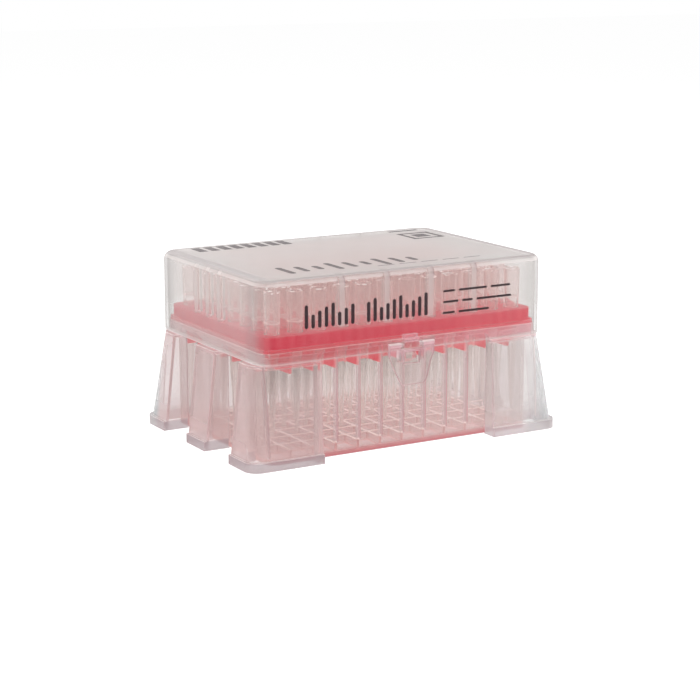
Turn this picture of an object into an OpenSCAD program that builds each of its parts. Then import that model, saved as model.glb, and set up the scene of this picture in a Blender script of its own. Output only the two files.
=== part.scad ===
// Box of 96 pipette tips: a clear rack with splayed feet, a coloured deck
// that the tips stand in, a frosted hinged lid and a front latch.
// Millimetres. X runs along the long side, the latch faces -Y, the box
// stands on Z = 0 and the origin is the middle of its footprint.

/* [Tip grid] */
// Number of tip columns along the box
columns = 12; // [10:1:14]
// Number of tips in each column
rows = 8; // [7:1:10]
// Distance between neighbouring tips
pitch = 9; // [7.5:0.1:11]

/* [Rack base] */
// Height of the rim that the deck lies on
rim_z = 39.6; // [33:0.1:50]
// Thickness of the shelf under the rim
shelf_t = 1.6; // [1.2:0.1:2.4]
// Wall of the inner box
box_wall = 1.1; // [0.8:0.1:1.6]
// From the end columns' centres to the inside of the box
end_margin = 3.3; // [3.1:0.1:5]
// From the side rows' centres to the inside of the box
side_margin = 3.95; // [3.1:0.05:5]
// Corner radius of the inner box
box_r = 4; // [2:0.5:6]
// How far the rim stands out of the box at each end
rim_end = 2.8; // [2:0.1:4]
// How far the rim stands out of the box at each side
rim_side = 2.3; // [2:0.1:4]
// Thickness of the floor
floor_t = 1.4; // [1:0.1:3]
// Height of the floor's underside above the table
belly_z = 0.4; // [0.1:0.1:2]
// Height of the grid on the floor
grid_h = 3; // [1:0.1:4]
// Thickness of the grid and of the ribs on the bay walls
grid_t = 0.9; // [0.6:0.1:1.5]
// Depth of the upright ribs on the bay walls
stud_d = 0.8; // [0.4:0.1:1.2]

/* [Pillars and feet] */
// How far the pillars' tops stand out of the rim at each end
shoulder_end = 2.7; // [1:0.1:3]
// How far the pillars' tops stand out of the rim at each side
shoulder_side = 1.6; // [1:0.1:2.5]
// Corner radius of the pillars' tops
shoulder_r = 10; // [6:0.5:12]
// How far the feet stand out of the rim at each end
splay_end = 7.18; // [5:0.01:12]
// How far the feet stand out of the rim at each side
splay_side = 3.89; // [3:0.01:12]
// Length of a corner foot along the long side
corner_l = 28.68; // [20:0.01:36]
// Width of a corner foot along the short side
corner_w = 16.7; // [12:0.01:18]
// Width of the middle foot at each end
mid_w = 14.5; // [10:0.1:17]
// Corner radius of the feet
foot_r = 5; // [3:0.5:7]
// Height of the band round each foot
foot_h = 3.4; // [2:0.1:6]
// How far the band stands out of the pillar above it
foot_lip = 0.6; // [0.4:0.1:1.5]
// Wall of the hollow pillars
pillar_wall = 1.2; // [0.8:0.1:2]
// Radius in the top corners between the pillars
arch_r = 2.5; // [2:0.5:6]

/* [Deck] */
// Height of the raised block above the rim
block_h = 5.4; // [4.5:0.1:8]
// How far the block stands out of the inner box at each end
block_end = 1.3; // [0:0.1:2]
// How far the block stands out of the inner box at each side
block_side = 0.9; // [0:0.1:1.5]
// Thickness of the deck's top and sides
deck_t = 1.4; // [1:0.1:1.6]
// Thickness of the flange round the block
flange_t = 1.2; // [0.8:0.1:2]
// Diameter of the holes for the tips
hole_d = 4.9; // [4.8:0.05:5.2]
// How far the crossed ribs hang below the rim
rib_drop = 8; // [4:0.1:12]
// Thickness of the crossed ribs
rib_t = 1; // [0.6:0.1:1.4]

/* [Tips] */
// Height of the tip above the deck
collar_h = 14.5; // [10:0.1:20]
// How far the neck stands out over its hole, each side
neck_step = 0.3; // [0.2:0.05:0.5]
// Height of the neck
neck_h = 3.9; // [2:0.1:6]
// How far the collar stands out of the neck, each side
collar_step = 0.2; // [0.1:0.05:0.4]
// Wall of the collar at the mouth
mouth_wall = 0.7; // [0.5:0.05:0.9]
// Length of the barrel below the deck
barrel_l = 35.5; // [24:0.5:42]
// Clearance between the barrel and its hole, each side
barrel_gap = 0.2; // [0.1:0.05:0.3]
// Outside diameter halfway down the barrel
waist_d = 3.1; // [2.8:0.05:3.4]
// Outside diameter at the pointed end
point_d = 1; // [0.9:0.05:1.4]
// Wall of the barrel
tip_wall = 0.6; // [0.4:0.05:0.7]
// Inside diameter at the pointed end
point_bore = 0.5; // [0.3:0.05:0.6]

/* [Lid] */
// Air between the tips and the lid's ceiling
head_room = 4.2; // [2:0.1:10]
// How far the lid hangs below the rim
lid_drop = 3.7; // [2:0.1:5]
// Wall of the lid
lid_wall = 1.2; // [0.8:0.1:1.8]
// Radius round the lid's top edge
lid_edge = 3; // [2:0.5:4]
// Width of the ribs inside the lid
lid_rib_w = 2.2; // [1:0.1:3]
// Depth of the ribs inside the lid
lid_rib_d = 0.8; // [0.5:0.1:1.2]
// Space between the deck's block and the ribs' lower ends
lid_rib_z = 2; // [1:0.1:6]

/* [Hinge] */
// Diameter of the pins on the rack's lugs
pin_d = 1.9; // [1.5:0.1:2.2]
// From the end of the bay to the near end of each knuckle
hinge_inset = 9.2; // [4:0.1:11]
// Length of each knuckle
knuckle_l = 8; // [6:0.5:12]
// Outside diameter of each knuckle
knuckle_d = 4; // [3.6:0.1:4.4]
// Thickness of the lugs
lug_t = 1.6; // [1.2:0.1:3]

/* [Latch] */
// Width of the latch at the top
latch_w = 18.4; // [14:0.1:24]
// Width of the latch at the bottom
latch_tip_w = 8.6; // [6:0.1:10]
// Height of the latch below its pivot
latch_l = 14; // [12:0.1:18]
// Height of the latch's full-width part below its pivot
latch_full = 3.6; // [2:0.1:6]
// Thickness of the latch
latch_t = 1.1; // [0.8:0.1:1.4]
// How far the latch's lower edge leans out
latch_lean = 1.4; // [0:0.1:3]
// Height of the leaning part
lean_h = 7; // [4:0.5:9]
// Width of the window in the latch
window_w = 6.4; // [4:0.1:8]
// Diameter of the latch's pivots
pivot_d = 1.2; // [1:0.1:1.4]
// Width of the tab above the ledge
tab_w = 5.7; // [3:0.1:8]

/* [Fits] */
// Clearance between the rim and the inside of the lid, each side
lid_gap = 0.4; // [0.3:0.05:0.8]
// Clearance between the deck and the inside of the box, each side
deck_gap = 0.15; // [0.1:0.05:0.3]
// Radial gap round the hinge pins and the latch's pivots
pin_gap = 0.1; // [0.05:0.01:0.1]
// Clearance at the ends of the knuckles and of the latch
end_gap = 0.25; // [0.2:0.05:0.5]
// Clearance between the rack's catch and the latch
catch_gap = 0.3; // [0.2:0.05:0.6]

/* [Hidden] */
$fn = 64;
over = 1;                  // how far a cutting shape runs past a face
weld = 0.3;                // how far joined shapes sink into each other

// The inner box and the rim follow from the tip grid
grid_l = (columns - 1) * pitch;
grid_w = (rows - 1) * pitch;
cavity_l = grid_l + 2 * end_margin;
cavity_w = grid_w + 2 * side_margin;
box_l = cavity_l + 2 * box_wall;
box_w = cavity_w + 2 * box_wall;
rim_l = box_l + 2 * rim_end;
rim_w = box_w + 2 * rim_side;
rim_r = box_r + 1;
shelf_z = rim_z - shelf_t;
floor_z = belly_z + floor_t;

// Feet and the bays between them
shoulder_l = rim_l + 2 * shoulder_end;
shoulder_w = rim_w + 2 * shoulder_side;
foot_l = rim_l + 2 * splay_end;
foot_w = rim_w + 2 * splay_side;
bay_l = foot_l - 2 * corner_l;
side_gap = (foot_w - mid_w) / 2 - corner_w;
side_gap_y = (mid_w + side_gap) / 2;

// Deck
deck_z = rim_z + block_h;
block_l = box_l + 2 * block_end;
block_w = box_w + 2 * block_side;
rib_z = rim_z - rib_drop;
rib_columns = [for (i = [1:columns - 1]) i * pitch - grid_l / 2 - pitch / 2];
rib_rows = [for (i = [1:rows - 1]) i * pitch - grid_w / 2 - pitch / 2];

// Lid
lid_z = rim_z - lid_drop;
lid_in_l = rim_l + 2 * lid_gap;
lid_in_w = rim_w + 2 * lid_gap;
lid_l = lid_in_l + 2 * lid_wall;
lid_w = lid_in_w + 2 * lid_wall;
lid_top = deck_z + collar_h + head_room + lid_wall;
lid_in_r = rim_r + lid_gap;
lid_r = lid_in_r + lid_wall;
lid_edge_in = max(lid_edge - lid_wall, 0.5);
skirt_gap = 0.5;           // between the lid's lower edge and what is below it
flare_z = lid_z - skirt_gap;

// Hinge: the pins lie just below the lid's skirt, behind the rack
knuckle_r = knuckle_d / 2;
hinge_y = lid_w / 2 + 0.2;
hinge_z = lid_z - skirt_gap - knuckle_r;
hinge_x = bay_l / 2 - hinge_inset - knuckle_l / 2;
lug_in = knuckle_l / 2 + end_gap;

// Latch: its pivot hangs under a ledge on the front of the lid
ledge_t = 1;
pivot_y = -lid_w / 2 - 1.6;
pivot_z = rim_z - 1.4;
bead_r = 0.8;
ledge_z = pivot_z + bead_r + end_gap;
ledge_y = pivot_y - 1;
lug_w = 1.1;               // thickness of the two lugs under the ledge
lug_x = window_w / 2 + 0.1;
latch_end = lug_x + lug_w + end_gap;
latch_top_cut = 1.8;       // height cleared round the lugs, below the pivot
window_top = pivot_z - latch_top_cut - 0.8;
window_h = 4.2;
catch_y = pivot_y + latch_t / 2 + catch_gap;

// Rectangle with round corners, centred
module round_rect(l, w, r) {
    square([l - 2 * r, w], center = true);
    square([l, w - 2 * r], center = true);
    for (x = [-1, 1], y = [-1, 1])
        translate([x * (l / 2 - r), y * (w / 2 - r)]) circle(r);
}

// Plate with round corners between two heights
module slab(l, w, r, z0, z1)
    translate([0, 0, z0]) linear_extrude(z1 - z0) round_rect(l, w, r);

// Upright wall that follows a rectangle with round corners
module ring(l, w, r, wall, z0, z1)
    translate([0, 0, z0]) linear_extrude(z1 - z0) difference() {
        round_rect(l, w, r);
        round_rect(l - 2 * wall, w - 2 * wall, max(r - wall, 0.5));
    }

// Block between two corners, given by its ranges
module block(x, y, z)
    translate([x[0], y[0], z[0]]) cube([x[1] - x[0], y[1] - y[0], z[1] - z[0]]);

// Rod along X through a point in the YZ plane
module rod_x(x0, x1, y, z, r)
    translate([x0, y, z]) rotate([0, 90, 0]) cylinder(r = r, h = x1 - x0);

// Outline in the XZ plane, given depth along Y
module along_y(y0, y1)
    translate([0, y1, 0]) rotate([90, 0, 0]) linear_extrude(y1 - y0) children();

// Outline in the YZ plane, given length along X
module along_x(x0, x1)
    translate([x0, 0, 0]) rotate([90, 0, 90]) linear_extrude(x1 - x0) children();

// Doorway outline, open downwards, with round top corners
module doorway(w, top, r) {
    translate([-w / 2, -over]) square([w, top - r + over]);
    translate([-w / 2 + r, 0]) square([w - 2 * r, top]);
    for (x = [-1, 1]) translate([x * (w / 2 - r), top - r]) circle(r);
}

// The bays between the pillars, grown by a wall to leave hollow pillars
module bays(grow) {
    far = foot_l;
    for (side = [0, 180]) rotate(side)
        along_y(-far, -box_w / 2) doorway(bay_l + 2 * grow, shelf_z + grow, arch_r + grow);
    for (side = [0, 180], y = [-1, 1]) rotate(side) translate([0, y * side_gap_y, 0])
        along_x(box_l / 2, far) doorway(side_gap + 2 * grow, shelf_z + grow, arch_r + grow);
}

// Splayed outside of the pillars, or their inside with a wall taken off
module splay(wall) {
    skin = 0.02;
    top = flare_z - wall;
    hull() {
        slab(shoulder_l - 2 * wall, shoulder_w - 2 * wall, shoulder_r - wall, top - skin, top);
        slab(foot_l - 2 * (foot_lip + wall), foot_w - 2 * (foot_lip + wall),
            foot_r - wall, wall > 0 ? -over : 0, skin);
    }
    slab(rim_l - 2 * wall, rim_w - 2 * wall, rim_r - wall, top - skin, shelf_z + (wall > 0 ? 0 : weld));
}

module pillars() difference() {
    union() {
        splay(0);
        slab(foot_l, foot_w, foot_r, 0, foot_h);
    }
    difference() {
        splay(pillar_wall);
        bays(pillar_wall);
    }
    bays(0);
    slab(box_l - weld, box_w - weld, box_r, -over, rim_z + over);
}

// Inner box with its floor, the grid on it and the ribs on the bay walls
module inner_box() {
    ring(box_l, box_w, box_r, box_wall, belly_z, rim_z);
    slab(box_l - box_wall, box_w - box_wall, box_r, belly_z, floor_z);
    for (x = rib_columns)
        block([x - grid_t / 2, x + grid_t / 2], [-cavity_w / 2 - weld, cavity_w / 2 + weld],
            [floor_z - weld, floor_z + grid_h]);
    for (y = rib_rows)
        block([-cavity_l / 2 - weld, cavity_l / 2 + weld], [y - grid_t / 2, y + grid_t / 2],
            [floor_z - weld, floor_z + grid_h]);
    for (side = [0, 180], x = rib_columns)
        if (abs(x) < bay_l / 2 - pillar_wall) rotate(side)
            block([x - grid_t / 2, x + grid_t / 2], [-cavity_w / 2 - weld, -cavity_w / 2 + stud_d],
                [floor_z, rib_z - deck_gap]);
}

// Two lugs with the pin between them, for one knuckle of the lid
module hinge_lugs() {
    for (side = [-1, 1]) {
        inside = side * lug_in;
        outside = side * (lug_in + lug_t);
        x = [min(inside, outside), max(inside, outside)];
        block(x, [box_w / 2 - weld, hinge_y], [hinge_z - knuckle_r, hinge_z + knuckle_r]);
        rod_x(x[0], x[1], hinge_y, hinge_z, knuckle_r);
    }
    rod_x(-lug_in - weld, lug_in + weld, hinge_y, hinge_z, pin_d / 2);
}

// Wedge on the front that the latch's window stands over
module catch_wedge() {
    half = window_w / 2 - 0.5;
    top = window_top - 0.4;
    nose = catch_y;
    root = -box_w / 2 + weld;
    along_x(-half, half) polygon([
        [root, top], [nose + 0.8, top], [nose, top - 1],
        [nose, top - 2.2], [root, top - 4.6],
    ]);
}

module base() color([0.86, 0.82, 0.82, 0.5]) {
    pillars();
    inner_box();
    ring(rim_l, rim_w, rim_r, rim_end + box_wall / 2, shelf_z, rim_z);
    for (x = [-1, 1]) translate([x * hinge_x, 0, 0]) hinge_lugs();
    catch_wedge();
}

module deck() color([0.88, 0.30, 0.36]) difference() {
    union() {
        slab(rim_l - 2 * lid_gap, rim_w - 2 * lid_gap, rim_r - lid_gap, rim_z, rim_z + flange_t);
        slab(block_l, block_w, box_r, rim_z, deck_z);
        for (x = rib_columns)
            block([x - rib_t / 2, x + rib_t / 2], [-cavity_w / 2 + deck_gap, cavity_w / 2 - deck_gap],
                [rib_z, deck_z - weld]);
        for (y = rib_rows)
            block([-cavity_l / 2 + deck_gap, cavity_l / 2 - deck_gap], [y - rib_t / 2, y + rib_t / 2],
                [rib_z, deck_z - weld]);
    }
    hollow_cells();
    tip_holes();
}

// The space under the deck's top, cell by cell between the crossed ribs
module hollow_cells() {
    x_walls = concat([-box_l / 2 + deck_t - rib_t / 2], rib_columns, [box_l / 2 - deck_t + rib_t / 2]);
    y_walls = concat([-box_w / 2 + deck_t - rib_t / 2], rib_rows, [box_w / 2 - deck_t + rib_t / 2]);
    for (i = [0:columns - 1], j = [0:rows - 1])
        block([x_walls[i] + rib_t / 2, x_walls[i + 1] - rib_t / 2],
            [y_walls[j] + rib_t / 2, y_walls[j + 1] - rib_t / 2],
            [rib_z - over, deck_z - deck_t]);
}

module tip_holes()
    for (i = [0:columns - 1], j = [0:rows - 1])
        translate([i * pitch - grid_l / 2, j * pitch - grid_w / 2, deck_z - deck_t - over])
            cylinder(d = hole_d, h = deck_t + 2 * over);

// Half section of one tip, its neck standing on the deck at height 0
module tip_section() {
    neck = hole_d / 2 + neck_step;
    collar = neck + collar_step;
    mouth = collar - mouth_wall;
    barrel = hole_d / 2 - barrel_gap;
    draft = [0.1, 0.15, 0.3];  // taper of the collar, of the barrel in its hole and of the mouth
    guide = -deck_t - 1;
    waist = -barrel_l / 2;
    polygon([
        [mouth, collar_h], [collar, collar_h], [collar - draft[0], neck_h], [neck, neck_h], [neck, 0],
        [barrel, 0], [barrel - draft[1], guide], [waist_d / 2, waist], [point_d / 2, -barrel_l],
        [point_bore / 2, -barrel_l], [waist_d / 2 - tip_wall, waist],
        [barrel - draft[1] - tip_wall, guide], [mouth - draft[2], neck_h],
    ]);
}

module tip_column(number) color([0.93, 0.90, 0.90, 0.6])
    for (j = [0:rows - 1])
        translate([(number - 1) * pitch - grid_l / 2, j * pitch - grid_w / 2, deck_z])
            rotate_extrude() tip_section();

// Half section of a cover's corner: upright side, rounded top edge
module cover_corner(r, edge, h) intersection() {
    square([r, h]);
    union() {
        square([r, h - edge]);
        square([r - edge, h]);
        translate([r - edge, h - edge]) circle(edge);
    }
}

// Closed cover shape with round upright corners and a round top edge
module cover(l, w, r, edge, h) {
    module side(span) {
        translate([-span / 2, 0]) square([span, h - edge]);
        translate([-span / 2 + edge, 0]) square([span - 2 * edge, h]);
        for (x = [-1, 1]) translate([x * (span / 2 - edge), h - edge]) circle(edge);
    }
    along_y(-w / 2 + r, w / 2 - r) side(l);
    along_x(-l / 2 + r, l / 2 - r) side(w);
    for (turn = [0:3]) {
        x = (turn == 0 || turn == 3 ? 1 : -1) * (l / 2 - r);
        y = (turn < 2 ? 1 : -1) * (w / 2 - r);
        translate([x, y, 0]) rotate(90 * turn) rotate_extrude(angle = 90) cover_corner(r, edge, h);
    }
}

// Upright ribs inside the lid's walls, down to just above the deck's block
module lid_ribs() {
    z = [deck_z + lid_rib_z, lid_top - lid_wall + weld];
    for (side = [0, 180], k = [-3, -1, 1, 3]) rotate(side)
        block([k * pitch - lid_rib_w / 2, k * pitch + lid_rib_w / 2],
            [-lid_in_w / 2 - weld, -lid_in_w / 2 + lid_rib_d], z);
    for (side = [0, 180], k = [-1, 0, 1]) rotate(side)
        block([-lid_in_l / 2 - weld, -lid_in_l / 2 + lid_rib_d],
            [k * pitch - lid_rib_w / 2, k * pitch + lid_rib_w / 2], z);
}

module lid() color([0.87, 0.86, 0.85, 0.4]) difference() {
    union() {
        difference() {
            translate([0, 0, lid_z]) cover(lid_l, lid_w, lid_r, lid_edge, lid_top - lid_z);
            translate([0, 0, lid_z - over])
                cover(lid_in_l, lid_in_w, lid_in_r, lid_edge_in, lid_top - lid_wall - lid_z + over);
        }
        lid_ribs();
        ledge();
        for (x = [-1, 1]) translate([x * hinge_x, 0, 0]) knuckle();
    }
    rod_x(-bay_l / 2, bay_l / 2, hinge_y, hinge_z, pin_d / 2 + pin_gap);
    rod_x(-latch_end, latch_end, pivot_y, pivot_z, pivot_d / 2 + pin_gap);
}

// Hinge knuckle and the web that joins it to the lid's skirt
module knuckle() {
    rod_x(-knuckle_l / 2, knuckle_l / 2, hinge_y, hinge_z, knuckle_r);
    block([-knuckle_l / 2, knuckle_l / 2], [lid_w / 2 - lid_wall, lid_w / 2], [hinge_z, lid_z + weld]);
}

// Ledge that the latch hangs from, with its two lugs and the tab above
module ledge() {
    front = [ledge_y, -lid_w / 2 + weld];
    block([-latch_w / 2, latch_w / 2], front, [ledge_z, ledge_z + ledge_t]);
    block([-tab_w / 2, tab_w / 2], [pivot_y + 0.4, -lid_w / 2 + weld], [ledge_z, ledge_z + 2.4]);
    for (side = [-1, 1]) translate([side * (lug_x + lug_w / 2), 0, 0])
        block([-lug_w / 2, lug_w / 2], front, [pivot_z - 1.1, ledge_z + weld]);
}

module latch() color([0.88, 0.84, 0.85, 0.5]) {
    difference() {
        intersection() {
            along_x(-latch_w / 2, latch_w / 2) latch_side();
            along_y(pivot_y - 2 * latch_lean - latch_t, pivot_y + latch_t) latch_front();
        }
        block([-latch_end, latch_end], [pivot_y - latch_t, pivot_y + latch_t],
            [pivot_z - latch_top_cut, pivot_z + over]);
        block([-window_w / 2, window_w / 2], [pivot_y - latch_t, pivot_y + latch_t],
            [window_top - window_h, window_top]);
    }
    for (side = [0, 180]) translate([0, pivot_y, pivot_z]) rotate(side) {
        rod_x(latch_end, latch_w / 2, 0, 0, bead_r);
        rod_x(lug_x + 0.2, latch_end + weld, 0, 0, pivot_d / 2);
    }
    for (side = [-1, 1]) translate([side * (window_w / 2 + 0.7), 0, 0])
        block([-0.5, 0.5], [pivot_y - latch_t / 2 - 0.6, pivot_y],
            [window_top - 3, pivot_z - latch_top_cut]);
}

// Section of the latch across its width: upright, then leaning out
module latch_side() {
    half = latch_t / 2;
    knee = pivot_z - latch_l + lean_h;
    foot = pivot_z - latch_l;
    polygon([
        [pivot_y + half, pivot_z], [pivot_y - half, pivot_z], [pivot_y - half, knee],
        [pivot_y - half - latch_lean, foot], [pivot_y + half - latch_lean, foot],
        [pivot_y + half, knee],
    ]);
}

// Outline of the latch from the front: full width, then tapering
module latch_front() {
    foot = pivot_z - latch_l;
    corner = 1.2;
    polygon([
        [-latch_w / 2, pivot_z + over], [latch_w / 2, pivot_z + over],
        [latch_w / 2, pivot_z - latch_full], [latch_tip_w / 2 + corner, foot + corner],
        [latch_tip_w / 2, foot], [-latch_tip_w / 2, foot],
        [-latch_tip_w / 2 - corner, foot + corner], [-latch_w / 2, pivot_z - latch_full],
    ]);
}

base();
deck();
lid();
latch();
for (column = [1:columns])
    tip_column(column);
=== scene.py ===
"""Looks of the box of pipette tips: clear rack, coral deck, clear tips, frosted lid and latch."""

import math

import bpy
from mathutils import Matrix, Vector


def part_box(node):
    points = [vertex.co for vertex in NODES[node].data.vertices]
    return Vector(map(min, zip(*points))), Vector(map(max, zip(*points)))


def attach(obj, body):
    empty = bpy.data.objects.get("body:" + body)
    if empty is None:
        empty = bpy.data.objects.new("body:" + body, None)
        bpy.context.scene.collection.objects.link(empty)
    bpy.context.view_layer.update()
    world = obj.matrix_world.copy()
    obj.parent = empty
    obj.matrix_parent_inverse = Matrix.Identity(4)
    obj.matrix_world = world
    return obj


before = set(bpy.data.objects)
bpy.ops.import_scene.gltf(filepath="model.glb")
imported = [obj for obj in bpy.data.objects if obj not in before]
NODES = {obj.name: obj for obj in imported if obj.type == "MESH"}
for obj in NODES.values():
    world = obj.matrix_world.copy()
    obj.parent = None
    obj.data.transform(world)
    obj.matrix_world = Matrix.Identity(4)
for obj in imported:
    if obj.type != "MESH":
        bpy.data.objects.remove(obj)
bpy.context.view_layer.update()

MM = 0.001
TIPS = sorted(n for n in NODES if n.startswith("tip_column_"))


def span(node):
    """Lowest and highest corner of a node, in millimetres."""
    low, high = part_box(node)
    return low / MM, high / MM


# ---------------------------------------------------------------- camera

CAMERA_AZIMUTH = math.radians(-30.414)
CAMERA_HEIGHT = math.radians(12.187)
CAMERA_DISTANCE = 701.16 * MM
CAMERA_TARGET = Vector((-0.185, 0.0, 28.227)) * MM
LENS_MM = 97.83
SENSOR_MM = 36.0
CLIP_START, CLIP_END = 0.05, 20.0


def make_camera():
    """A long lens aimed at the middle of the object."""
    data = bpy.data.cameras.new("camera")
    data.lens = LENS_MM
    data.sensor_width = SENSOR_MM
    data.clip_start, data.clip_end = CLIP_START, CLIP_END
    camera = bpy.data.objects.new("camera", data)
    bpy.context.scene.collection.objects.link(camera)
    flat = math.cos(CAMERA_HEIGHT)
    back = Vector((math.sin(CAMERA_AZIMUTH) * flat, -math.cos(CAMERA_AZIMUTH) * flat,
                   math.sin(CAMERA_HEIGHT)))
    camera.location = CAMERA_TARGET + back * CAMERA_DISTANCE
    camera.rotation_euler = back.to_track_quat("Z", "Y").to_euler()
    bpy.context.scene.camera = camera


make_camera()


# ---------------------------------------------------------------- shader maths

EDGE_RADIUS = 0.6                 # how wide a sharp edge shows on the larger pieces, in millimetres
FINE_EDGE_RADIUS = 0.4            # the same on the deck and the latch
EDGE_FADE = (0.02, 0.25)          # 1 less the cosine of an edge's lean, where it begins to show and is full
UPWARD_FADE = (0.15, 0.6)         # the upward part of its direction, likewise
STRIPE_SOFT = 0.1                 # half of the soft border of a stripe
BEVEL_SAMPLES = 8
PLASTIC_IOR = 1.49
LIGHT_KEPT = 0.985                # share of a lamp's light that passes one face of clear plastic
LIGHT_TINT = (LIGHT_KEPT, LIGHT_KEPT, LIGHT_KEPT, 1)
MIX_SHARE, MIX_FIRST, MIX_SECOND, MIX_COLOUR = 0, 6, 7, 2      # a Mix node's sockets for colours


class Value:
    """A socket of a material's nodes. Python's operators on it add Math nodes."""

    def __init__(self, shading, socket):
        self.shading, self.socket = shading, socket

    def maths(self, operation, *values):
        return self.shading.node("ShaderNodeMath", {"operation": operation}, dict(enumerate(values)))

    def __add__(self, other):
        return self.maths("ADD", self, other)

    def __radd__(self, other):
        return self.maths("ADD", other, self)

    def __sub__(self, other):
        return self.maths("SUBTRACT", self, other)

    def __rsub__(self, other):
        return self.maths("SUBTRACT", other, self)

    def __mul__(self, other):
        return self.maths("MULTIPLY", self, other)

    def __rmul__(self, other):
        return self.maths("MULTIPLY", other, self)

    def __pow__(self, other):
        return self.maths("POWER", self, other)

    def __abs__(self):
        return self.maths("ABSOLUTE", self)

    def wave(self, period):
        """1 at zero and at each whole period, and 0 halfway between."""
        return self.maths("COSINE", self * (2 * math.pi / period)) * 0.5 + 0.5

    def most(self, other):
        return self.maths("MAXIMUM", self, other)

    def least(self, other):
        return self.maths("MINIMUM", self, other)

    def step(self, start, end):
        """A smooth step from 0 at start to 1 at end."""
        return self.shading.node("ShaderNodeMapRange", {"interpolation_type": "SMOOTHSTEP"},
                                 {0: self, 1: start, 2: end, 3: 0.0, 4: 1.0})


class Shading:
    """The nodes of one material, or of the world. Lengths in its maths are in millimetres."""

    def __init__(self, name, world=False):
        self.owner = (bpy.data.worlds if world else bpy.data.materials).new(name)
        self.owner.use_nodes = True
        self.tree = self.owner.node_tree
        self.tree.nodes.clear()
        self.output = "ShaderNodeOutputWorld" if world else "ShaderNodeOutputMaterial"

    def node(self, kind, settings=(), sockets=(), output=0):
        """Adds a node: its settings first, then the values or links of its sockets."""
        made = self.tree.nodes.new(kind)
        for key, value in dict(settings).items():
            setattr(made, key, value)
        for key, value in dict(sockets).items():
            if isinstance(value, Value):
                self.tree.links.new(value.socket, made.inputs[key])
            else:
                made.inputs[key].default_value = value
        return Value(self, made.outputs[output]) if made.outputs else made

    def place(self):
        """Position on the object, as three values in millimetres."""
        at = self.node("ShaderNodeTexCoord", output="Object")
        return [self.node("ShaderNodeSeparateXYZ", (), {0: at}, axis) * (1 / MM) for axis in range(3)]

    def noise(self, size_mm, detail, stretch=(1, 1, 1)):
        """Soft blotches of a size. A small number in stretch draws them out along that axis."""
        at = self.node("ShaderNodeTexCoord", output="Object")
        scaled = self.node("ShaderNodeVectorMath", {"operation": "MULTIPLY"}, {0: at, 1: stretch})
        return self.node("ShaderNodeTexNoise", (),
                         {"Vector": scaled, "Scale": 1 / (size_mm * MM), "Detail": detail})

    def rounded(self, radius_mm):
        """The direction a surface faces, as if its edges were rounded."""
        return self.node("ShaderNodeBevel", {"samples": BEVEL_SAMPLES}, {"Radius": radius_mm * MM})

    def edges(self, radius_mm):
        """1 along the sharp edges of the shape, fading over a radius."""
        rounded = self.rounded(radius_mm)
        flat = self.node("ShaderNodeNewGeometry", output="Normal")
        alike = self.node("ShaderNodeVectorMath", {"operation": "DOT_PRODUCT"},
                          {0: rounded, 1: flat}, "Value")
        return (1 - alike).step(*EDGE_FADE)

    def upward(self):
        """1 where an edge's rounded side looks up, 0 where it looks down or sideways."""
        rounded = self.rounded(EDGE_RADIUS)
        return self.node("ShaderNodeSeparateXYZ", (), {0: rounded}, 2).step(*UPWARD_FADE)

    def turned(self, axis):
        """How far a surface faces along an axis, from 0 to 1: along Z a wall has 0 and a level top 1."""
        flat = self.node("ShaderNodeNewGeometry", output="Normal")
        return abs(self.node("ShaderNodeSeparateXYZ", (), {0: flat}, axis))

    def band(self, value, low, high):
        """1 while a value lies between two limits, with a quarter of the way soft at each of them."""
        soft = (high - low) / 4
        return value.step(low, low + soft) * (1 - value.step(high - soft, high))

    def stripe(self, along, centres, half):
        """1 inside stripes of a half width about some centres."""
        made = 0.0
        for centre in centres:
            one = 1 - abs(along - centre).step(half - STRIPE_SOFT, half + STRIPE_SOFT)
            made = one.most(made)
        return made

    def facing(self):
        """0 where a surface is seen head on and 1 where it is seen edge on."""
        return self.node("ShaderNodeLayerWeight", (), {"Blend": 0.5}, "Facing")

    def mix(self, share, first, second):
        """The first colour where share is 0, and the second where it is 1."""
        sockets = {MIX_SHARE: share, MIX_FIRST: first, MIX_SECOND: second}
        return self.node("ShaderNodeMix", {"data_type": "RGBA"}, sockets, MIX_COLOUR)

    def bump(self, height, depth_mm, strength):
        return self.node("ShaderNodeBump", (),
                         {"Height": height, "Distance": depth_mm * MM, "Strength": strength})

    def surface(self, **sockets):
        """A Principled shader. base_color stands for its socket Base Color, and so on."""
        named = {key.replace("_", " ").title().replace("Ior", "IOR"): value
                 for key, value in sockets.items()}
        return self.node("ShaderNodeBsdfPrincipled", (), named)

    def cloudy(self, colour, through, roughness, normal):
        """A milky plastic: a share of the light comes through from behind and the rest is reflected."""
        thin = self.node("ShaderNodeBsdfTranslucent", (), {"Color": colour})
        face = self.surface(base_color=colour, roughness=roughness, ior=PLASTIC_IOR, normal=normal)
        return self.node("ShaderNodeMixShader", (), {0: through, 1: face, 2: thin})

    def veil(self, share, solid, tint, glass=None, normal=None):
        """A see-through plastic: share of it is solid, and the rest shows what is behind it with a tint.
        glass is how strongly it bends the view, if it does, and normal makes that uneven. Light from lamps
        and from surfaces passes with little loss, because clear plastic spreads it inside."""
        clear = self.node("ShaderNodeBsdfTransparent", (), {"Color": tint})
        if glass:
            uneven = {"Normal": normal} if normal else {}
            clear = self.node("ShaderNodeBsdfGlass", (),
                              {"Color": tint, "IOR": glass, "Roughness": 0.0, **uneven})
        shader = self.node("ShaderNodeMixShader", (), {0: share, 1: clear, 2: solid})
        open_way = self.node("ShaderNodeBsdfTransparent", (), {"Color": LIGHT_TINT})
        for ray in ("Is Shadow Ray", "Is Diffuse Ray"):
            path = self.node("ShaderNodeLightPath", output=ray)
            shader = self.node("ShaderNodeMixShader", (), {0: path, 1: shader, 2: open_way})
        return shader

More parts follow.
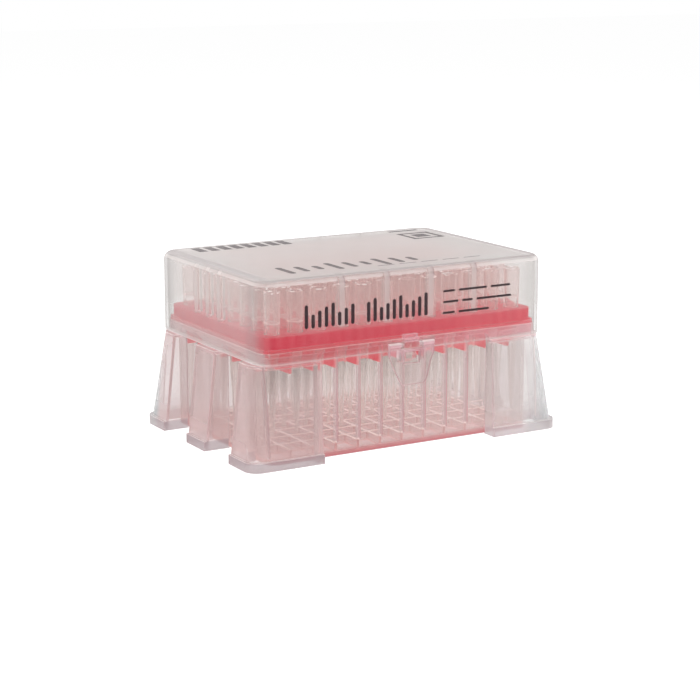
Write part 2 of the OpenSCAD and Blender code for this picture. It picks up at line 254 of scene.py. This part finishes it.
    def seen(self, *rays):
        """1 where a ray of one of these kinds arrives, and 0 elsewhere."""
        found = 0.0
        for ray in rays:
            found = self.node("ShaderNodeLightPath", output=ray).most(found)
        return found

    def finish(self, shader):
        self.node(self.output, (), {"Surface": shader})
        return self.owner


def srgb(red, green, blue):
    """A colour given as 0 to 255, as the linear colour that a shader takes."""
    linear = [c / 255 / 12.92 if c <= 10 else ((c / 255 + 0.055) / 1.055) ** 2.4
              for c in (red, green, blue)]
    return (*linear, 1.0)


# ---------------------------------------------------------------- sizes that the finishes follow, in mm

DECK_HIGH = span("deck")[1]
LID_HIGH = span("lid")[1]
LATCH_HIGH = span("latch")[1]
TIP_HIGH = span(TIPS[0])[1]
PITCH = (span("tip_column_2")[0] - span("tip_column_1")[0]).x

LID_INSIDE_X, LID_INSIDE_Y = 57.1, 39.25    # inner faces of the lid's walls
LID_FRONT = 40.45                           # outer face of the lid's front
LID_EDGE = 35.9                             # lower edge of the lid's walls
LID_RIBS_X = (9.0, 27.0)                    # ribs on its long walls, to either side of the middle
LID_RIBS_Y = (0.0, 9.0)                     # ribs on its end walls
LID_ROUND = 3.2                             # height of the rounding below its top
FLANGE_TOP = 44.5                           # just under the top of the deck's flange
FLANGE_X, FLANGE_Y = 55.25, 37.5            # where the flange stands out from the deck's block
DECK_UNDERSIDE = 38.5                       # below this the deck hangs inside the rack
NECK_ABOVE_DECK = 3.9                       # height of the step in a tip's wall above the deck
CAVITY_X, CAVITY_Y = 52.5, 35.2             # just inside the walls of the rack's inner box
BOX_X, BOX_Y = 54.1, 36.7                   # just outside them
FLOOR_TOP, GRID_TOP = 2.2, 5.2              # just above the rack's floor and above the grid on it
FOOT_TOP = 3.0                              # where the band round the feet begins to fade
STUD_PITCH = 9.0                            # spacing of the upright ribs on the bay's walls


# ---------------------------------------------------------------- colours

# SHINE: the colour of painted highlights
SHINE = srgb(250, 240, 238)
# In the base's _LEFT and _RIGHT colour pairs the right colour is lighter: painted light that grows towards
# the right end
CLEAR_LEFT, CLEAR_RIGHT = srgb(208, 184, 180), srgb(224, 206, 203)

# FROST_MIDDLE: painted pink light of the tips and deck below, in the middle of the lid's top
FROST, FROST_MIDDLE = srgb(230, 225, 222), srgb(248, 222, 218)
FROST_CORNERS = srgb(194, 189, 187)
# FROST_OVER_TIPS: painted pink light of the tips, on the lid's long walls over them
FROST_OVER_TIPS = srgb(206, 168, 165)
FROST_RIBS = srgb(206, 196, 194)
FROST_SHADE = srgb(184, 174, 174)
FROST_TAB, FROST_NOTCH = srgb(230, 172, 184), srgb(150, 132, 134)
LID_TINT = (0.905, 0.900, 0.896, 1)

# EDGE_MAUVE: painted mauve reflection of the coral on the base's edges that don't face up
EDGE_MAUVE = srgb(190, 146, 156)
# PILLAR colours: pink with painted coral light from the inside; PILLAR_FAR and FOOT_FAR lack it at the far
# corners
PILLAR_LEFT, PILLAR_RIGHT, PILLAR_FAR = srgb(216, 182, 180), srgb(218, 204, 202), srgb(190, 189, 190)
FOOT_LEFT, FOOT_RIGHT, FOOT_FAR = srgb(176, 154, 157), srgb(206, 188, 190), srgb(188, 178, 179)
# STUD_SIDE: painted shade along one side of each upright rib
STUD, STUD_SIDE = srgb(222, 198, 196), srgb(178, 124, 128)
# RIM colours: painted coral light in the rim, paler at the left end
RIM_LEFT, RIM_RIGHT, RIM_END = srgb(228, 110, 120), srgb(255, 176, 186), srgb(222, 176, 178)
# GLOW: painted coral glow along the box's lower edge
GLOW = srgb(190, 100, 108)
# CREASE colours: painted shade in the creases beside the pillars
CREASE_LEFT, CREASE_RIGHT = srgb(166, 138, 140), srgb(214, 196, 196)
# FLOOR colours: pink with painted coral light; FLOOR_CREST is a painted highlight on the grid's crests
FLOOR_LEFT, FLOOR_RIGHT, FLOOR_CREST = srgb(228, 160, 156), srgb(238, 190, 186), srgb(244, 216, 208)
BASE_TINT = (0.94, 0.937, 0.937, 1)

CORAL, CORAL_DEEP = srgb(226, 55, 80), srgb(210, 46, 70)
# CORAL_UNDER is a painted glow below the deck, CORAL_EDGE a painted highlight on the flange's edges;
# CORAL_PALE takes tone and painted light
CORAL_PALE, CORAL_UNDER, CORAL_EDGE = srgb(255, 132, 138), srgb(240, 62, 76), srgb(255, 226, 224)
DECK_TINT = (1.0, 0.80, 0.82, 1)

# TIP_COLLAR is pinker with painted coral light from the deck; TIP_GLINT is the colour of painted glints
TIP_SHAFT, TIP_COLLAR, TIP_GLINT = srgb(238, 226, 216), srgb(238, 204, 200), srgb(255, 250, 248)
TIP_TINT = (0.992, 0.975, 0.972, 1)

# BEAD_EDGE is painted shade on the latch's edges that don't face up; the OUTLINE colours are painted shade
# on its sides, darker on the right
SHOULDER, BEAD_EDGE = srgb(230, 180, 190), srgb(166, 124, 130)
OUTLINE_LEFT, OUTLINE_RIGHT = srgb(192, 156, 160), srgb(170, 126, 132)
LATCH_TINT = (0.95, 0.93, 0.93, 1)

INK_SPECK = srgb(92, 78, 82)
INK_FRONT, INK_TOP = srgb(30, 18, 24), srgb(70, 64, 68)
INK_TINT = (1, 1, 1, 1)


# ---------------------------------------------------------------- materials

def frosted_lid():
    """Frosted plastic: hazy when seen aslant, nearly clear head on, greyer where it turns away."""
    s = Shading("frosted_plastic")
    x, y, z = s.place()
    cloud = s.noise(9.0, 3.0)
    grain = s.noise(0.35, 2.0)
    rib_tops = s.stripe(abs(x), LID_RIBS_X, 1.5) * (abs(y) - LID_INSIDE_Y).step(-3.0, -2.5)
    edge = s.edges(EDGE_RADIUS) * (1 - 0.85 * rib_tops)
    aslant = s.facing()

    # the top with a darker border round it, and the ribs inside the walls
    top = (z - (LID_HIGH.z - 1.0)).step(0.0, 0.6)
    middle = 1 - (abs(x) - 30.0).step(0.0, 28.0).most((abs(y) - 18.0).step(0.0, 20.0))
    border = top * (abs(x) - (LID_HIGH.x - 6.5)).step(0.0, 2.0).most(
        (abs(y) - (LID_HIGH.y - 6.0)).step(0.0, 2.0))
    end_ribs = s.stripe(abs(y), LID_RIBS_Y, 1.1) * (abs(x) - LID_INSIDE_X).step(-1.0, -0.6)
    side_ribs = s.stripe(abs(x), LID_RIBS_X, 1.1) * (abs(y) - LID_INSIDE_Y).step(-1.0, -0.6)
    ribs = end_ribs.most(side_ribs) * (z - 46.0).step(0.0, 1.5) * (1 - top)

    # the walls: over the tips, and lower down beside the deck
    long_side = (abs(y) - LID_INSIDE_Y).step(-0.5, 0.0)
    over_tips = (1 - (x - 34.0).step(0.0, 18.0)) * (1 - (-1 * x - 50.0).step(0.0, 5.0)) * long_side
    above_deck = (z - FLANGE_TOP).step(0.0, 3.0)
    zone = above_deck * (1 - top) * (0.35 + 0.65 * long_side)
    low_side = (1 - above_deck) * long_side

    # the rounding between the walls and the top, and the lower edge, which carry painted highlights and a
    # painted dark line (seam)
    turn = s.turned(2)
    rounding = s.band(z, LID_HIGH.z - LID_ROUND, LID_HIGH.z + 1.0)
    seam = s.band(turn, 0.82, 0.985) * rounding
    shine = s.band(turn, 0.25, 0.75) * rounding * (1 - 0.85 * rib_tops)
    lip = 1 - (z - LID_EDGE).step(0.6, 0.9)

    # the tab over the latch, the notches over the ribs, and the hazier corners
    tab = (-1 * y - LID_FRONT).step(0.1, 0.3) * (1 - (abs(x) - 2.8).step(0.1, 0.3))
    notch = s.stripe(abs(x - 0.9), LID_RIBS_X, 0.35) * long_side
    notch = notch * (z - (LID_HIGH.z - 4.0)).step(0.0, 1.5) * (1 - top)
    bare_front = (-1 * x - 50.0).step(0.0, 1.0) * (1 - (-1 * x - 58.5).step(0.0, 1.0))
    bare_front = bare_front * (-1 * y - 38.0).step(0.0, 1.0)
    corners = (abs(x) - 52.2).step(0.0, 3.5) * (abs(y) - 26.0).step(0.0, 5.0)
    corners = corners * (1 - top) * (1 - 0.9 * bare_front)

    haze = (0.02 + 0.5 * aslant ** 1.5 + 0.08 * corners) * (1 - 0.5 * low_side)
    haze = haze + 0.11 * zone + 0.05 * (cloud - 0.5)
    share = haze + 0.25 * edge + (0.24 - 0.1 * rib_tops) * top + 0.32 * border + 0.25 * ribs \
        + 0.3 * seam + 0.2 * shine + 0.08 * lip + 0.3 * notch + 0.3 * tab
    # painted pink light of the tips and deck below: a soft patch in the middle of the top, and the long
    # walls over the tips
    pale = s.mix(top * middle * 0.5, FROST, FROST_MIDDLE)
    pale = s.mix(corners * 0.9, pale, FROST_CORNERS)
    pale = s.mix(zone * over_tips * 0.9, pale, FROST_OVER_TIPS)
    pale = s.mix(ribs * 0.8, pale, FROST_RIBS)
    # painted highlights: on edges that face up, on the rounding (shine) and along the lower edge (lip)
    pale = s.mix((edge * s.upward()).most(shine * 0.8).most(lip * 0.8), pale, SHINE)
    # FROST_SHADE: a painted dark line along the rounded top edge (seam), also the greyer border and greyer
    # tone seen aslant
    pale = s.mix((aslant ** 4 * 0.8).most(seam * 0.9).most(border * 0.8).least(1.0), pale, FROST_SHADE)
    pale = s.mix(tab * 0.8, pale, FROST_TAB)
    colour = s.mix(notch * 0.8, pale, FROST_NOTCH)
    solid = s.cloudy(colour, 0.35, 0.32 + 0.12 * cloud, s.bump(grain, 0.02, 0.25))
    return s.finish(s.veil(share.least(0.97).most(0.02), solid, LID_TINT))


def clear_base():
    """Clear plastic, hazier in its flared pillars and feet, with painted coral light in its pillars, rim,
    floor and lower edge, painted highlights and reflections on its edges, painted shade in its creases, and
    painted light that grows towards its right end.
    """
    s = Shading("clear_plastic")
    x, y, z = s.place()
    cloud = s.noise(7.0, 3.0)
    flow = s.noise(3.0, 2.0, (1, 1, 0.15))
    edge = s.edges(EDGE_RADIUS)
    # 0 at the left and 1 at the right: it drives painted light that grows towards the right, and a little
    #                                   more haze there
    right = (x + 30.0).step(0.0, 90.0)
    far_corners = (x * y * -1 - 1950.0).step(0.0, 300.0)
    left_end = (-1 * x - 53.0).step(0.0, 1.5)

    # the inner box: its floor, the grid on it, and the upright ribs on the bay's walls
    inside = 1 - (abs(y) - CAVITY_Y).step(0.0, 0.5).most((abs(x) - CAVITY_X).step(0.0, 0.5))
    beyond_y = (abs(y) - BOX_Y).step(0.0, 0.2)
    outside = beyond_y.most((abs(x) - BOX_X).step(0.0, 0.2))
    below_grid_top = 1 - (z - GRID_TOP).step(0.0, 0.4)
    above_floor = (z - 4.0).step(0.0, 2.0)
    plate = inside * (1 - (z - FLOOR_TOP).step(0.0, 0.4))
    ribs = inside * below_grid_top - plate
    crest = inside * (z - 4.5).step(0.0, 0.2) * below_grid_top
    bay = (abs(y) - 31.0).step(0.0, 0.5) * (1 - outside) * above_floor
    studs = s.stripe(abs(x), [STUD_PITCH * k for k in range(4)], 0.7) * bay
    # painted shade along one side of each upright rib
    stud_sides = s.stripe(x, [STUD_PITCH * k + 0.5 for k in range(-3, 4)], 0.22) * bay

    # the feet and pillars, the rim, and the painted coral light along the box's lower edge
    foot = outside * (1 - (z - FOOT_TOP).step(0.0, 0.8))
    shin = outside * (1 - (z - FOOT_TOP).step(0.0, 10.0))
    rim = (z - 33.5).step(0.0, 3.5)
    high = (z - 27.0).step(0.0, 6.0)
    glow = (1 - (z - 0.8).step(0.0, 3.2)) * (abs(y) - 35.0).step(0.0, 0.5) * (1 - outside)

    # the flat faces of the corner pillars on the long sides, and the creases beside them, darkened with
    # painted shade
    long_face = beyond_y * above_floor
    pane = (abs(x) - 38.4).step(0.0, 0.4) * (1 - (abs(x) - 55.8).step(0.0, 0.4)) * long_face
    pane = pane * (1 - 0.6 * right)
    crease = s.stripe(x, (-56.3, 54.2), 0.28) * long_face

    share = 0.09 + 0.45 * s.facing() ** 1.6 + 0.45 * edge + 0.06 * (cloud - 0.5) + 0.08 * outside \
        - 0.07 * high + 0.16 * shin + 0.2 * foot + 0.06 * plate + 0.2 * crest \
        + (0.18 + 0.1 * right) * rim + 0.2 * studs + 0.3 * stud_sides + 0.5 * glow \
        + 0.12 * left_end * high + 0.08 * right * (1 - outside)
    share = share * (1 - 0.4 * pane) + 0.5 * crease

    # painted highlights on edges that face up, and a painted mauve reflection on the others
    lines = s.mix(s.upward(), EDGE_MAUVE, SHINE)
    walls = s.mix(right, CLEAR_LEFT, CLEAR_RIGHT)
    # pillars pink with painted coral light, except at the far corners
    pillars = s.mix(far_corners, s.mix(right, PILLAR_LEFT, PILLAR_RIGHT), PILLAR_FAR)
    walls = s.mix(outside, walls, pillars)
    feet = s.mix(far_corners, s.mix(right, FOOT_LEFT, FOOT_RIGHT), FOOT_FAR)
    walls = s.mix(foot, walls, feet)
    walls = s.mix(studs * 0.7, walls, STUD)
    walls = s.mix(stud_sides * 0.9, walls, STUD_SIDE)
    # painted coral light in the rim, paler at the left end
    walls = s.mix(rim * 0.8, walls, s.mix(left_end, s.mix(right, RIM_LEFT, RIM_RIGHT), RIM_END))
    # painted coral glow along the lower edge
    walls = s.mix(glow, walls, GLOW)
    walls = s.mix(edge * (0.8 - 0.4 * foot), walls, lines)
    walls = s.mix(crease * 0.8, walls, s.mix(right, CREASE_LEFT, CREASE_RIGHT))
    # the floor pink with painted coral light, and a painted highlight on the grid's crests
    floor = s.mix(crest, s.mix(right, FLOOR_LEFT, FLOOR_RIGHT), FLOOR_CREST)
    colour = s.mix((plate + ribs).least(1.0), walls, floor)
    solid = s.cloudy(colour, 0.4, 0.14 + 0.1 * cloud, s.bump(flow, 0.12, 0.3))
    wavy = s.bump(s.noise(5.0, 0.0, (1, 1, 0.4)), 0.3, 0.5)
    return s.finish(s.veil(share.least(0.95).most(0.02), solid, BASE_TINT, glass=1.4, normal=wavy))


def coral_deck():
    """Coral plastic with faint upright bands and soft streaks on its walls, and a paler, clearer flange.
    Painted highlights line its edges, brightest on the flange's, a painted glow brightens its underside,
    and painted light makes it paler towards the right.
    """
    s = Shading("coral_plastic")
    x, y, z = s.place()
    cloud = s.noise(5.0, 3.0)
    grain = s.noise(0.4, 2.0)
    band = x.wave(PITCH / 2) * (abs(y) - (DECK_HIGH.y - 3.0)).step(0.0, 0.5)
    streak = s.noise(3.2, 3.0, (1, 1, 0.05)).step(0.45, 0.7)
    edge = s.edges(FINE_EDGE_RADIUS)
    under = 1 - (z - DECK_UNDERSIDE).step(0.0, 1.0)
    flange = (abs(x) - FLANGE_X).step(0.0, 0.3).most((abs(y) - FLANGE_Y).step(0.0, 0.3))
    # painted light: the deck grows paler towards the right end
    right = (x + 56.0).step(0.0, 112.0)
    highlight = edge * flange * (1 - under)
    # paler with the bands, streaks and clearer flange, and with painted light: highlights on edges, a glow
    # below, more light to the right
    light = band * 0.12 + streak * 0.08 + edge * 0.2 + under * 0.1 + flange * 0.5 + right * 0.25
    colour = s.mix(light.least(1.0), s.mix(cloud, CORAL, CORAL_DEEP), CORAL_PALE)
    # painted glow on the underside
    colour = s.mix(under * 0.6, colour, CORAL_UNDER)
    # painted highlight on the flange's edges
    colour = s.mix(highlight * 0.8, colour, CORAL_EDGE)
    solid = s.cloudy(colour, 0.35, 0.3 + 0.1 * cloud, s.bump(grain, 0.02, 0.2))
    share = 0.94 - 0.1 * under - 0.65 * flange * (1 - under) + 0.5 * highlight
    return s.finish(s.veil(share, solid, DECK_TINT))


def clear_tips():
    """Thin clear plastic of the tips: nearly invisible head on, with soft pink-white outlines, painted
    glints here and there on the rims, and painted coral light from the deck on their upper parts."""
    s = Shading("tip_plastic")
    z = s.place()[2]
    rim = (z - (TIP_HIGH.z - 0.5)).step(0.0, 0.3)
    neck = 1 - abs(z - (DECK_HIGH.z + NECK_ABOVE_DECK)).step(0.1, 0.45)
    upper = (z - DECK_HIGH.z).step(-2.0, 2.0)
    streak = s.noise(1.2, 2.0, (1, 1, 0.08))
    glint = rim * s.noise(1.6, 1.0).step(0.5, 0.6)
    share = 0.03 + (0.4 + 0.1 * upper) * s.facing() ** 2.2 + 0.08 * rim + 0.6 * glint \
        + 0.35 * neck + 0.04 * upper + 0.12 * (streak - 0.4)
    # painted glints on the rims, and painted coral light on the upper parts
    colour = s.mix(glint, s.mix(upper, TIP_SHAFT, TIP_COLLAR), TIP_GLINT)
    solid = s.cloudy(colour, 0.45, 0.12 + 0.1 * streak, s.bump(streak, 0.05, 0.2))
    return s.finish(s.veil(share.least(0.95).most(0.02), solid, TIP_TINT, glass=1.25))


def latch_plastic():
    """Thin plastic of the latch: pink shoulders and a clear tongue, with painted highlights on its beads
    and upward edges, and painted shade as a dark outline along its sides, darker on the right.
    """
    s = Shading("latch_plastic")
    x, _, z = s.place()
    cloud = s.noise(4.0, 3.0)
    edge = s.edges(FINE_EDGE_RADIUS)
    below = LATCH_HIGH.z - z
    bead = 1 - below.step(1.5, 1.8)
    shoulders = 1 - below.step(4.2, 5.2)
    outline = (1 - s.turned(1).step(0.3, 0.6)) * (1 - bead)
    share = 0.1 + 0.5 * s.facing() ** 1.4 + 0.5 * edge + 0.05 * (cloud - 0.5) \
        + 0.14 * shoulders + 0.2 * bead + 0.5 * outline
    pale = s.mix(shoulders * 0.8, CLEAR_RIGHT, SHOULDER)
    # painted highlights on edges that face up, and painted shade on the others
    pale = s.mix(edge * 0.8, pale, s.mix(s.upward(), BEAD_EDGE, SHINE))
    # painted shade on the sides, darker on the right
    pale = s.mix(outline * 0.8, pale, s.mix(x.step(-3.0, 3.0), OUTLINE_LEFT, OUTLINE_RIGHT))
    # painted highlight on the tops of the beads
    colour = s.mix(bead * s.upward(), pale, SHINE)
    solid = s.cloudy(colour, 0.35, 0.15 + 0.1 * cloud, s.bump(cloud, 0.05, 0.2))
    return s.finish(s.veil(share.least(0.95).most(0.02), solid, LATCH_TINT))


def print_ink(name, tone, cover):
    """Ink of the printed marks, slightly uneven and thinner in specks. cover is how much it hides."""
    s = Shading(name)
    speck = s.noise(0.5, 3.0)
    colour = s.mix(speck * 0.4, tone, INK_SPECK)
    solid = s.surface(base_color=colour, roughness=0.45 + 0.2 * speck, specular_ior_level=0.15)
    return s.finish(s.veil(cover + 0.1 * (speck - 0.5), solid, INK_TINT))


def dress(node, material):
    """Gives every slot of a CAD node one material."""
    for one in NODES[node].material_slots:
        one.material = material


dress("lid", frosted_lid())
dress("base", clear_base())
dress("deck", coral_deck())
dress("latch", latch_plastic())
TIP_MATERIAL = clear_tips()
for tip_node in TIPS:
    dress(tip_node, TIP_MATERIAL)


# ---------------------------------------------------------------- printed marks

INK_PROUD = 0.03     # how far the ink stands out of the lid, in millimetres
STROKE_ARC = 8       # steps round each end of a stroke
METER_PITCH = 2.6    # spacing of the upright strokes on the front
METER_FOOT = 47.4    # height of their lower ends
METER_WIDTH = 1.35
DASH_TOP = 55.3      # height of the front's first dashed line
DASH_DROP = 3.9      # from one dashed line to the next
DASH_GAP = 1.6
FRAME_X, FRAME_Y = 43.0, 20.0    # middle of the square frame on the top
FRAME_HALF = 6.0                 # from there to the middle of each of its bars
FRAME_BAR = 1.6
FRAME_SIDE = 2 * FRAME_HALF + FRAME_BAR


def stroke(along, across, length, width, turn=0.0):
    """Outline of a stroke with round ends about a centre, its length along the second axis."""
    half, r = max(length / 2 - width / 2, 0.0), width / 2
    points = []
    for end in (1, -1):
        for i in range(STROKE_ARC + 1):
            a = math.pi * i / STROKE_ARC + (0 if end > 0 else math.pi)
            points.append((r * math.cos(a), end * half + r * math.sin(a)))
    c, n = math.cos(turn), math.sin(turn)
    return [(along + u * c - v * n, across + u * n + v * c) for u, v in points]


def bar(along, across, length, width):
    """Outline of a plain rectangle about a centre."""
    u, v = width / 2, length / 2
    return [(along - u, across - v), (along + u, across - v),
            (along + u, across + v), (along - u, across + v)]


def printed(name, outlines, place, normal, material):
    """A mesh of thin raised shapes on the lid. place turns an outline's point and a height into a position,
    and normal is the way the marks face."""
    points, faces = [], []
    for outline in outlines:
        first, count = len(points), len(outline)
        for height in (0.0, INK_PROUD):
            points += [place(u, v, height) * MM for u, v in outline]
        faces.append([first + count + i for i in range(count)])
        for i in range(count):
            after = (i + 1) % count
            faces.append([first + i, first + after, first + count + after, first + count + i])
    mesh = bpy.data.meshes.new(name)
    mesh.from_pydata(points, [], faces)
    mesh.validate()
    mesh.materials.append(material)
    piece = bpy.data.objects.new(name, mesh)
    bpy.context.scene.collection.objects.link(piece)
    if mesh.polygons[0].normal.dot(Vector(normal)) < 0:
        mesh.flip_normals()
    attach(piece, "lid")


def front_marks():
    """Two groups of upright strokes like a level meter, and three short dashed lines."""
    shapes = []
    for group, (start, count) in enumerate(((-41.0, 8), (-16.5, 10))):
        for i in range(count):
            tall = 8.2 - 3.4 * ((i * 3 + group) % 4) / 3
            shapes.append(stroke(start + i * METER_PITCH, METER_FOOT + tall / 2, tall, METER_WIDTH))
    for row, dashes in enumerate(((5.0, 12.0, 8.5), (6.5, 4.5, 15.0), (5.0, 13.0))):
        at = 14.0
        for dash in dashes:
            shapes.append(stroke(at + dash / 2, DASH_TOP - row * DASH_DROP, dash, 0.8, math.pi / 2))
            at += dash + DASH_GAP
    return shapes


def top_marks():
    """A row of strokes, a thin dashed line, a row of bars, and a square frame with a block and a rule."""
    shapes = [stroke(-40.0 + i * 6.4, -24.0, 13.0 - 3.0 * (i % 3), 2.4) for i in range(9)]
    shapes += [stroke(-4.0 + i * 9.0, -31.5, 7.0, 0.6, math.pi / 2) for i in range(5)]
    shapes += [bar(-46.0 + i * 5.0, 31.0, 8.5, 3.4) for i in range(8)]
    shapes += [bar(FRAME_X, FRAME_Y + side * FRAME_HALF, FRAME_BAR, FRAME_SIDE) for side in (-1, 1)]
    shapes += [bar(FRAME_X + side * FRAME_HALF, FRAME_Y, FRAME_SIDE, FRAME_BAR) for side in (-1, 1)]
    shapes += [bar(FRAME_X, FRAME_Y, 6.0, 6.0), bar(FRAME_X, 33.0, 2.0, 13.0)]
    return shapes


printed("front_print", front_marks(), lambda u, v, h: Vector((u, -LID_FRONT - h, v)), (0, -1, 0),
        print_ink("front_ink", INK_FRONT, 0.97))
printed("top_print", top_marks(), lambda u, v, h: Vector((u, v, LID_HIGH.z + h)), (0, 0, 1),
        print_ink("top_ink", INK_TOP, 0.72))


# ---------------------------------------------------------------- stage and light

AMBIENT = 0.74        # strength of the even light from all round
PAPER = (0.9, 0.9, 0.9, 1)
PAPER_LIFT = 0.32     # light of its own that the floor shows
FLOOR_HALF = 3.0      # in metres
WHITE = (1, 1, 1, 1)


def add_light(name, place, size, watts):
    """A square lamp that looks at the object."""
    data = bpy.data.lights.new(name, "AREA")
    data.shape, data.size, data.energy = "SQUARE", size, watts
    lamp = bpy.data.objects.new(name, data)
    lamp.location = place
    lamp.rotation_euler = (Vector(place) - CAMERA_TARGET).to_track_quat("Z", "Y").to_euler()
    bpy.context.scene.collection.objects.link(lamp)


def make_floor():
    """White paper. Where it is seen, a little light of its own lifts it to white and keeps its shadows."""
    mesh = bpy.data.meshes.new("floor")
    corners = [(u * FLOOR_HALF, v * FLOOR_HALF, 0) for u, v in ((-1, -1), (1, -1), (1, 1), (-1, 1))]
    mesh.from_pydata(corners, [], [(0, 1, 2, 3)])
    floor = bpy.data.objects.new("floor", mesh)
    bpy.context.scene.collection.objects.link(floor)
    s = Shading("floor_paper")
    seen = s.seen("Is Camera Ray", "Is Glossy Ray", "Is Transmission Ray")
    paper = s.node("ShaderNodeBsdfDiffuse", (), {"Color": PAPER})
    lift = s.node("ShaderNodeEmission", (), {"Color": WHITE, "Strength": seen * PAPER_LIFT})
    mesh.materials.append(s.finish(s.node("ShaderNodeAddShader", (), {0: paper, 1: lift})))


def make_world():
    """Even light from all round, and white where the camera or clear plastic looks past the object."""
    s = Shading("studio", world=True)
    seen = s.seen("Is Camera Ray", "Is Transmission Ray")
    strength = AMBIENT + (1.0 - AMBIENT) * seen
    light = s.node("ShaderNodeBackground", (), {"Color": WHITE, "Strength": strength})
    bpy.context.scene.world = s.finish(light)


make_floor()
make_world()
add_light("key", (-0.55, -0.75, 0.85), 0.5, 3.5)
add_light("side", (0.9, -0.25, 0.45), 0.4, 2.5)
add_light("back", (0.1, 0.9, 0.7), 0.6, 2.0)

scene = bpy.context.scene
scene.view_settings.view_transform = "Standard"
scene.cycles.max_bounces = 24
scene.cycles.diffuse_bounces = 6
scene.cycles.transparent_max_bounces = 96
